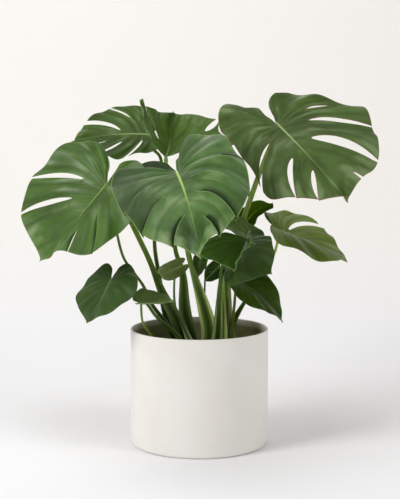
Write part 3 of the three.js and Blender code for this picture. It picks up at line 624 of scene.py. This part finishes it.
def blade_grid_values(leaf):
    """The grid's places and reaches, closer together beside the cuts and at the edges."""
    cuts = leaf["left"]["cuts"] + leaf["right"]["cuts"]
    places = [c[0] + d for c in cuts for d in (-0.012, -0.004, 0, 0.004, 0.012)] + [TIP_PLACE, 0.985]
    reaches = [c[1] + d for c in cuts for d in (0, 0.006, 0.02, 0.045)]
    reaches += [c[2] - d for c in cuts if c[2] < 1 for d in (0, 0.006, 0.02)] + [0.97, 0.99]
    columns, rows = BLADE_GRID["large" if leaf["size"][1] > LARGE_BLADE else "small"]
    return (spread_values(FIRST_PLACE, 1, columns, places, 0.0035),
            spread_values(0, 1, rows, reaches, 0.012))


def half_lobes(half):
    """Each lobe's first and last place, with the cuts before and after it."""
    ends = [(FIRST_PLACE, None), *((c[0], c) for c in half["cuts"]), (1, None)]
    return [(a[0], b[0], a[1], b[1]) for a, b in zip(ends, ends[1:])]


def side_relief(form, place, reach, part, vein, span, lifts, seed, side):
    """How far the surface stands off: quilting, cupped lobes, lobes over each other, and waves."""
    quilt = form["quilt"] * (np.sin(math.pi * (vein % 1)) ** 2 * -1 + 0.5) * smooth(reach, 0.05, 0.3)
    quilt = quilt * (1 - 0.5 * smooth(reach, 0.8, 1)) * np.clip(span / BROAD_SPAN, 0, 1)
    loose = smooth(reach, 0.35, 1)
    lifted = np.where(part < 0.5, lifts[0], lifts[1])
    cupped = -form["cupped"] * (2 * part - 1) ** 2 * loose * lifted
    shingle = form["shingle"] * (part * lifts[1] - (1 - part) * lifts[0])
    high = form["wave"] * loose
    wave = high * np.sin(2 * math.pi * (place * WAVES + seed * 0.37 + side * 0.21))
    slow_turn = 2 * math.pi * (place * SLOW_WAVES + reach * 0.8 + seed * 0.61)
    slow_wave = 0.6 * form["wave"] * loose * np.sin(slow_turn)
    return quilt + cupped + (wave + slow_wave) + shingle


def blade_half(leaf, side, seed):
    """Every lobe of one half as a grid of points with the values that its finish reads."""
    half = leaf["left"] if side < 0 else leaf["right"]
    form = {**PLAIN_FORM, **FORMS.get(leaf["name"], {})}
    openness, shaded, back_shade, outer_shade_strength = (form[key][side > 0] for key in ("open", "shaded", "back_shade", "dim"))
    length = leaf["size"][0]
    margin = margin_curve(leaf, half)
    places, reaches = blade_grid_values(leaf)
    veins_before = 0
    lobes = []
    for start, end, before, after in half_lobes(half):
        column = places[(places >= start - 1e-6) & (places <= end + 1e-6)]
        place, reach = np.meshgrid(column, reaches, indexing="ij")
        flat = flat_points(leaf, margin, place, reach)
        ahead = flat_points(leaf, margin, np.minimum(1, place + PLACE_STEP), reach)
        behind = flat_points(leaf, margin, np.maximum(0, place - PLACE_STEP), reach)
        step = ahead - behind
        stride = np.linalg.norm(step, axis=-1)
        direction = step / np.maximum(stride, 1e-9)[..., None]
        per_place = stride / (2 * PLACE_STEP)
        part = (place - start) / (end - start)
        gaps = [cut_gap(c, reach, openness) for c in (before, after)]
        flat = flat + direction * (((1 - part) * gaps[0] - part * gaps[1]) / 2)[..., None]

        vein_length = np.linalg.norm(flat_points(leaf, margin, place, 1 + 0 * reach)
                                     - flat_points(leaf, margin, place, 0 * reach), axis=-1)
        edge = (1 - reach) * vein_length
        for cut, at in ((before, start), (after, end)):
            if cut is None:
                continue
            aside = np.abs(place - at) * per_place
            short = np.maximum(cut[1] - reach, 0) + np.maximum(reach - cut[2], 0) * (cut[2] < 1)
            edge = np.minimum(edge, np.hypot(aside, short * vein_length))
        count = max(1, round((end - start) / VEIN_SPACING))
        vein = veins_before + part * count
        veins_before += count
        span = per_place * (end - start) / count

        lifts = [smooth(reach, c[1], c[1] + 0.35) if is_deep(c) else 0 * reach for c in (before, after)]
        lobe_width = span * count
        # Painted shade: a lens beside each slit where the next lobe lies over, the back lobe, and the outer
        # part of the half.
        shade = np.maximum(lobe_shade(after, reach, (1 - part) * lobe_width, shaded),
                           lobe_shade(before, reach, part * lobe_width, -shaded))
        painted_back_shade = back_shade * smooth(reach, 0.1, 0.3) * (1 - smooth(place, 0.24, 0.34))
        dim = outer_shade_strength * smooth(reach, 0.25, 0.6) * (1 - smooth(place, 0.62, 0.82))
        shade = np.maximum(shade, np.maximum(painted_back_shade, dim))

        rib = np.abs(flat[..., 0])
        to_tip = np.clip(1 - flat[..., 1] / length, 0, 1)
        groove = -GROOVE_DEPTH * np.exp(-(rib / GROOVE_WIDTH) ** 2) * to_tip
        size = min(1, leaf["size"][1] / FULL_RELIEF)
        relief = side_relief(form, place, reach, part, vein, span, lifts, seed, side) * size + groove
        keel_depth = KEEL_SHARE * length * to_tip
        keel = keel_depth * np.exp(-(rib / (0.3 + 0.013 * length)) ** 2)
        lobes.append(dict(points=bend(leaf, side, half, flat), relief=relief, keel=keel, side=side,
                          vein=vein, span=span, reach=reach, rib=rib, edge=edge, shade=shade,
                          share=np.clip(flat[..., 1] / length, 0, 1)))
    return lobes


# What each corner tells the finish: the count of side veins and their span, its reach from midrib
# to margin, how far it lies from the midrib and from the edge, its share of the length, its painted shade.
PATTERN = ("vein", "span", "reach", "rib", "edge", "share", "shade")


def joined_sheet(lobes):
    """The lobes as one sheet: merged points, four-sided faces, and the values at each corner."""
    points, faces, base = [], [], 0
    values = {name: [] for name in PATTERN + ("relief", "keel")}
    for lobe in lobes:
        rows, cols = lobe["reach"].shape
        index = base + np.arange(rows * cols).reshape(rows, cols)
        quad = [index[:-1, :-1], index[1:, :-1], index[1:, 1:], index[:-1, 1:]]
        if lobe["side"] > 0:
            quad = quad[::-1]
        faces.append(np.stack(quad, -1).reshape(-1, 4))
        points.append(lobe["points"].reshape(-1, 3))
        for name in values:
            values[name].append(lobe[name].ravel())
        base += rows * cols
    points, faces = np.vstack(points), np.vstack(faces)
    values = {name: np.concatenate(v) for name, v in values.items()}
    _, first, back = np.unique(np.round(points, 3), axis=0, return_index=True, return_inverse=True)
    return points[first], back.ravel()[faces], faces, values, first


def face_normals(points, faces):
    a, b, c, d = (points[faces[:, k]] for k in range(4))
    return np.cross(c - a, d - b)


def corner_normals(points, faces):
    each = face_normals(points, faces)
    total = np.zeros_like(points)
    for k in range(4):
        np.add.at(total, faces[:, k], each)
    return total / np.maximum(np.linalg.norm(total, axis=1), 1e-12)[:, None]


def open_edges(faces):
    """The edges that only one face has."""
    pairs = np.vstack([faces[:, [k, (k + 1) % 4]] for k in range(4)])
    pairs = pairs[pairs[:, 0] != pairs[:, 1]]
    there = {(a, b) for a, b in pairs.tolist()}
    return np.array([p for p in there if (p[1], p[0]) not in there])


def placed(name, data):
    """An object at the origin, in the scene."""
    made = bpy.data.objects.new(name, data)
    bpy.context.scene.collection.objects.link(made)
    return made


def solid_piece(name, corners, faces, finishes=(), edges=(), smooth_faces=None):
    """A mesh object in metres from millimetre corners."""
    mesh = bpy.data.meshes.new(name)
    mesh.from_pydata((np.asarray(corners) * MM).tolist(), list(edges), [list(map(int, f)) for f in faces])
    for finish in finishes:
        mesh.materials.append(finish)
    flags = np.ones(len(mesh.polygons), bool) if smooth_faces is None else np.asarray(smooth_faces, bool)
    mesh.polygons.foreach_set("use_smooth", flags)
    return placed(name, mesh)


def store(piece, name, domain, values):
    """Keeps a value at each point or face corner, for a finish or a tree to read."""
    layer = piece.data.attributes.new(name, "FLOAT", domain)
    layer.data.foreach_set("value", np.asarray(values).astype(np.float32))


def within_box(points, margin=0.2):
    """Keeps points, such as the blades' waves, inside the solids' box."""
    low, high = (np.array(c) / MM for c in CAD_BOX)
    return np.clip(points, low + margin, high - margin)


def make_blade(leaf, number):
    """A closed blade: the bent sheet with its relief, a thickness, and a keel under the midrib."""
    lobes = blade_half(leaf, -1, number) + blade_half(leaf, 1, number)
    points, faces, raw, values, first = joined_sheet(lobes)
    whole = np.array([len(set(f)) == 4 for f in faces.tolist()])
    faces, raw = faces[whole], raw[whole]
    points = points + corner_normals(points, faces) * values["relief"][first][:, None]
    normals = corner_normals(points, faces)
    count = len(points)
    half = BLADE_THICKNESS / 2
    above = points + normals * half
    below = points - normals * (half + values["keel"][first])[:, None]
    rim = open_edges(faces)
    walls = np.stack([rim[:, 1], rim[:, 0], rim[:, 0] + count, rim[:, 1] + count], -1)
    all_faces = np.vstack([faces, faces[:, ::-1] + count, walls])
    finish = blade_finish("blade_green_" + leaf["name"], LOOKS[leaf["name"]])
    piece = solid_piece("leaf_" + leaf["name"], within_box(np.vstack([above, below])), all_faces, [finish],
                        smooth_faces=np.r_[np.ones(2 * len(faces)), np.zeros(len(walls))])
    rim_raw = first[walls % count]
    for name in PATTERN:
        v = values[name]
        corners = [v[raw].ravel(), v[raw[:, ::-1]].ravel(), v[rim_raw].ravel()]
        store(piece, name, "CORNER", np.concatenate(corners))
    under = [np.zeros(4 * len(faces)), np.ones(4 * len(faces)), np.tile([0, 0, 1, 1], len(walls))]
    store(piece, "under", "CORNER", np.concatenate(under))
    return piece


# ---- the stalks
def stalk_path(leaf):
    """From a hole in the soil, through the leaf's path, to just under its midrib."""
    along, _, up = midrib_frame(leaf)
    x, y = leaf["root"]
    under_rib = BLADE_THICKNESS / 2 + KEEL_SHARE * leaf["size"][0] + GAP
    end = np.array(leaf["at"]) + 3 * along - up * under_rib
    start = end - up * 6 * leaf["radius"][1]
    foot = [(x, y, SOIL_CROWN - STALK_DEPTH), (x, y, SOIL_CROWN - 6)]
    return curve_through([*foot, *leaf["path"], start, end])


def new_tree(name, source, sizes, result):
    """A Geometry Nodes tree with a source, named sizes, a finish and a result, and its inputs."""
    tree = bpy.data.node_groups.new(name, "GeometryNodeTree")
    face = tree.interface
    face.new_socket(source, in_out="INPUT", socket_type="NodeSocketGeometry")
    kinds = {int: "NodeSocketInt", float: "NodeSocketFloat", tuple: "NodeSocketVector"}
    for key, value in sizes.items():
        face.new_socket(key, in_out="INPUT", socket_type=kinds[type(value)]).default_value = value
    face.new_socket("Finish", in_out="INPUT", socket_type="NodeSocketMaterial")
    face.new_socket(result, in_out="OUTPUT", socket_type="NodeSocketGeometry")
    w = Wiring(tree)
    return tree, w, w.node("NodeGroupInput").outputs


def end_tree(w, shape, finish, result):
    """Real geometry with its finish, at the tree's end."""
    real = w.made("GeometryNodeRealizeInstances", {"Geometry": shape})
    done = w.made("GeometryNodeSetMaterial", {"Geometry": real, "Material": finish})
    w.node("NodeGroupOutput", {result: done})


def stalk_tree():
    """Sweeps a grooved section with a sheath along a path whose points carry their own radius."""
    sizes = {"Sides": 28, "Seed": 3, "Groove depth": 0.16, "Unevenness": 0.0004, "Turn": 0.0, "Wing": 0.4}
    tree, w, put = new_tree("leaf_stalk_sweep", "Path", sizes, "Stalk")
    read = {name: w.made("GeometryNodeInputNamedAttribute", {"Name": name}, data_type="FLOAT")
            for name in ("radius", "sheath", "along_stalk", "girth")}

    # The section: round, with a groove towards its own +X and a ridge on each side of the groove.
    ring = w.made("GeometryNodeCurvePrimitiveCircle", {"Resolution": put["Sides"], "Radius": 1.0})
    spot = w.node("ShaderNodeSeparateXYZ", {0: w.made("GeometryNodeInputPosition")}).outputs
    facing = w.math("POWER", w.math("MAXIMUM", spot["X"], 0.0), 6.0)
    dip = w.times(facing, put["Groove depth"])
    pull = w.made("ShaderNodeCombineXYZ", {"X": w.times(dip, -1.0)})
    grooved = w.made("GeometryNodeSetPosition", {"Geometry": ring, "Offset": pull})
    aside = w.math("ABSOLUTE", w.math("SUBTRACT", w.math("ABSOLUTE", spot["Y"]), 0.81))
    in_front = w.math("GREATER_THAN", spot["X"], 0.0)
    ridge = w.times(w.step(aside, 0.08, 0.24, 1, 0), in_front)
    trough = w.step(spot["X"], 0.6, 0.97)
    marked = w.node("GeometryNodeStoreNamedAttribute", {"Geometry": grooved, "Name": "sheath"},
                    data_type="FLOAT", domain="POINT")
    w.feed(marked.inputs["Value"], w.math("SUBTRACT", ridge, trough))

    # The sweep, turned so that the groove faces the plant's front.
    line = w.made("GeometryNodeMeshToCurve", {"Mesh": put["Path"]})
    line = w.made("GeometryNodeSetCurveTilt", {"Curve": line, "Tilt": put["Turn"]})
    swept = w.made("GeometryNodeCurveToMesh", {"Curve": line, "Profile Curve": marked.outputs[0],
                                               "Scale": read["radius"], "Fill Caps": True})

    # The ridges stand out along the sheath's length, and the whole surface is a little uneven.
    noise = w.node("ShaderNodeTexNoise", {"Scale": 38.0, "W": put["Seed"]}, noise_dimensions="4D")
    lift = w.times(w.math("SUBTRACT", noise.outputs["Fac"], 0.5), put["Unevenness"])
    reach = w.times(w.step(read["along_stalk"], 0.25, 0.6, 1, 0), w.step(read["along_stalk"], 0.06, 0.16))
    ridge_height = w.times(read["girth"], w.math("MAXIMUM", read["sheath"], 0.0))
    wing = w.times(w.times(reach, put["Wing"]), ridge_height)
    away = w.node("ShaderNodeVectorMath", {0: w.made("GeometryNodeInputNormal")}, operation="SCALE")
    w.feed(away.inputs["Scale"], w.plus(lift, wing))
    uneven = w.made("GeometryNodeSetPosition", {"Geometry": swept, "Offset": away.outputs[0]})
    end_tree(w, w.made("GeometryNodeSetShadeSmooth", {"Geometry": uneven}), put["Finish"], "Stalk")
    return tree


def grown(piece, tree, **inputs):
    """Runs a tree on a piece and keeps the result as its plain mesh."""
    grower = piece.modifiers.new("grow", "NODES")
    grower.node_group = tree
    for item in tree.interface.items_tree:
        key = item.name.replace(" ", "_")
        if item.item_type == "SOCKET" and item.in_out == "INPUT" and key in inputs:
            grower[item.identifier] = inputs[key]
    ready = piece.evaluated_get(bpy.context.evaluated_depsgraph_get())
    plain = bpy.data.meshes.new_from_object(ready)
    piece.modifiers.remove(grower)
    piece.data = plain
    return piece


def make_stalk(leaf, tree, number):
    """A tapering stalk, whose sheath faces the front whichever way the stalk first leans."""
    curve = stalk_path(leaf)
    length = curve[1][-1]
    steps = int(length / STALK_STEP)
    share = np.linspace(0, 1, steps + 1)
    points = along_curve(curve, share)
    at_soil, at_blade = leaf["radius"]
    radius = at_soil + (at_blade - at_soil) * np.sqrt(share)
    radius = radius * (1 + FLARE * np.exp(-((1 - share) * length / FLARE_LENGTH) ** 2))
    piece = solid_piece("stalk_of_" + leaf["name"], points, [], edges=[(i, i + 1) for i in range(steps)])
    for name, value in (("radius", radius * MM), ("girth", radius * MM), ("along_stalk", share)):
        store(piece, name, "POINT", value)
    finish = stalk_finish("stalk_green_" + leaf["name"], LOOKS[leaf["name"]])
    lean = points[1] - points[0]
    start = math.atan2(-lean[0], lean[1]) if math.hypot(lean[0], lean[1]) > 1e-4 else 0.0
    return grown(piece, tree, Seed=number, Finish=finish, Turn=SHEATH_SIDE - start,
                 Wing=WINGS.get(leaf["name"], PLAIN_WING))


# ---- the pot and its filling
def quarter(x, z, radius, start, end, steps):
    """Points of an arc from one angle to another, in degrees."""
    angles = np.radians(np.linspace(start, end, steps + 1))
    return [(x + radius * math.cos(a), z + radius * math.sin(a)) for a in angles]


def turned(name, profile, segments, finishes):
    """A closed shape turned about the upright axis: the first and last profile points lie on it."""
    rings = profile[1:-1]
    corners = [(0, 0, profile[0][1])]
    for r, z in rings:
        corners += [(r * math.cos(t), r * math.sin(t), z)
                    for t in np.linspace(0, 2 * math.pi, segments, endpoint=False)]
    corners.append((0, 0, profile[-1][1]))
    faces = []
    for k in range(segments):
        n = (k + 1) % segments
        faces.append((0, 1 + n, 1 + k))
        for i in range(len(rings) - 1):
            a, b = 1 + i * segments, 1 + (i + 1) * segments
            faces.append((a + k, a + n, b + n, b + k))
        last = 1 + (len(rings) - 1) * segments
        faces.append((last + k, last + n, len(corners) - 1))
    return solid_piece(name, corners, faces, finishes)


def make_pot():
    """The pot with its rounded foot and lip, marked inside for the painted shade and green reflection on its
    inner wall.
    """
    inside, lip = POT_RADIUS - POT_WALL, POT_WALL / 2
    profile = [(0, 0), (60, 0), (110, 0)]
    profile += quarter(POT_RADIUS - POT_FOOT_RADIUS, POT_FOOT_RADIUS, POT_FOOT_RADIUS, -90, 0, 10)
    profile += [(POT_RADIUS, z) for z in POT_RINGS]
    profile += quarter(POT_RADIUS - lip, POT_HEIGHT - lip, lip, 0, 180, 12)
    profile += [(inside, z) for z in POT_INNER_RINGS]
    profile += quarter(inside - POT_FOOT_RADIUS, POT_FLOOR + POT_FOOT_RADIUS, POT_FOOT_RADIUS, 0, -90, 6)
    profile += [(60, POT_FLOOR), (0, POT_FLOOR)]
    pot = turned("white_pot", profile, POT_SEGMENTS, [pot_finish()])
    points = np.array([v.co for v in pot.data.vertices]) / MM
    away = np.hypot(points[:, 0], points[:, 1])
    inner = (away < inside + 0.05) & (points[:, 2] > POT_FLOOR - 0.1)
    store(pot, "inside", "POINT", inner * (1 - smooth(points[:, 2], 205, 217)))
    return pot


def grain_tree():
    """Scatters rounded grains and bark chips over the filling's top."""
    sizes = {"Density": 30000.0, "Grain size": 0.0022,
             "Smallest": (0.45, 0.45, 0.3), "Largest": (1.5, 1.2, 0.9),
             "Least turn": (-0.6, -0.6, 0.0), "Most turn": (0.6, 0.6, 6.28), "Seed": 11}
    tree, w, put = new_tree("soil_grains", "Bed", sizes, "Grains")
    up = w.node("ShaderNodeSeparateXYZ", {0: w.made("GeometryNodeInputNormal")}).outputs["Z"]
    on_top = w.made("FunctionNodeCompare", {0: up, 1: 0.7}, operation="GREATER_THAN")
    spots = w.made("GeometryNodeDistributePointsOnFaces",
                   {"Mesh": put["Bed"], "Selection": on_top, "Seed": put["Seed"], "Density": put["Density"]})
    grain = w.made("GeometryNodeMeshIcoSphere", {"Radius": put["Grain size"], "Subdivisions": 1})
    scale, spin = (w.made("FunctionNodeRandomValue", {0: put[low], 1: put[high], "Seed": put["Seed"]},
                          data_type="FLOAT_VECTOR")
                   for low, high in (("Smallest", "Largest"), ("Least turn", "Most turn")))
    scattered = w.made("GeometryNodeInstanceOnPoints",
                       {"Points": spots, "Instance": grain, "Rotation": spin, "Scale": scale})
    end_tree(w, scattered, put["Finish"], "Grains")
    return tree


def make_soil():
    """The filling, crowned and lumpy on top, and the loose grains on it."""
    radius = POT_RADIUS - POT_WALL - GAP * 2
    floor = POT_FLOOR + GAP
    rows = np.linspace(radius, 0, SOIL_RINGS)[:-1]
    crown = [0, radius * 0.6, radius], [SOIL_CROWN, SOIL_CROWN, SOIL_EDGE]
    profile = [(0, floor), (radius - POT_FOOT_RADIUS, floor), (radius, floor + POT_FOOT_RADIUS)]
    profile += [(radius, 120), *((r, np.interp(r, *crown)) for r in rows), (0, SOIL_CROWN)]
    finish = soil_finish("potting_mix", "#4a3a2b", "#241b13", 60)
    soil = turned("potting_soil", profile, SOIL_SEGMENTS, [finish])
    waves = np.random.default_rng(SOIL_SEED).normal(size=(14, 4))
    for v in soil.data.vertices:
        if v.co.z > 0.15:
            h = sum(math.sin(a * 60 * v.co.x + b * 60 * v.co.y + 6 * c) * d for a, b, c, d in waves) / 14
            v.co.z += 0.0028 * h - 0.001
    bed = placed("soil_grains", soil.data.copy())
    grains = grown(bed, grain_tree(), Finish=soil_finish("bark_chips", "#6d5339", "#2d2117", 240))
    return soil, grains


# ---- studio
def make_studio():
    """A pale floor that curves up into a wall, four soft lamps and a pale room."""
    profile = [(FLOOR_FRONT, 0.0), (FLOOR_BACK, 0.0)]
    for t in np.linspace(0.1, math.pi / 2, 14):
        profile.append((FLOOR_BACK + SWEEP_RADIUS * math.sin(t), SWEEP_RADIUS - SWEEP_RADIUS * math.cos(t)))
    profile += [(FLOOR_BACK + SWEEP_RADIUS, WALL_HEIGHT)]
    corners = [(x / MM, y / MM, z / MM) for x in (-SWEEP_HALF_WIDTH, SWEEP_HALF_WIDTH) for y, z in profile]
    n = len(profile)
    faces = [(i, i + n, i + n + 1, i + 1) for i in range(n - 1)]
    sweep = solid_piece("studio_sweep", corners, faces, [backdrop_finish()])

    for name, spot, aim, size, power, colour in LAMPS:
        data = bpy.data.lights.new(name, "AREA")
        data.shape = "RECTANGLE"
        data.size, data.size_y = size
        data.energy = power
        data.color = colour
        lamp = placed(name, data)
        lamp.location = spot
        lamp.rotation_euler = (Vector(aim) - Vector(spot)).to_track_quat("-Z", "Y").to_euler()

    world = bpy.data.worlds.new("pale_room")
    world.use_nodes = True
    room = world.node_tree.nodes["Background"]
    room.inputs[0].default_value = ROOM_COLOUR
    room.inputs[1].default_value = ROOM_STRENGTH
    bpy.context.scene.world = world
    bpy.context.scene.view_settings.view_transform = "Standard"


def make_camera():
    """The photograph's viewing angle, a little above the plant's middle and tilted down."""
    data = bpy.data.cameras.new("front_camera")
    data.sensor_fit = "VERTICAL"
    data.sensor_height = SENSOR_HEIGHT
    data.lens = LENS
    camera = placed("front_camera", data)
    camera.location = CAMERA_PLACE
    camera.rotation_euler = (math.radians(90 - CAMERA_TILT), 0, 0)
    bpy.context.scene.camera = camera


# ---- the plant
def seat(piece, slot, *nodes):
    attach(piece, "root")
    if nodes:
        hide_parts(*nodes)


make_camera()
make_studio()
seat(make_pot(), "pot", "pot")
soil, grains = make_soil()
seat(soil, "soil", "soil")
seat(grains, "soil")
sweep_tree = stalk_tree()
for number, leaf in enumerate(LEAVES):
    look = LOOKS[leaf["name"]]
    seat(make_blade(leaf, number), look["blade_slot"], "blade_" + leaf["name"])
    seat(make_stalk(leaf, sweep_tree, number), look["stalk_slot"], "stalk_" + leaf["name"])
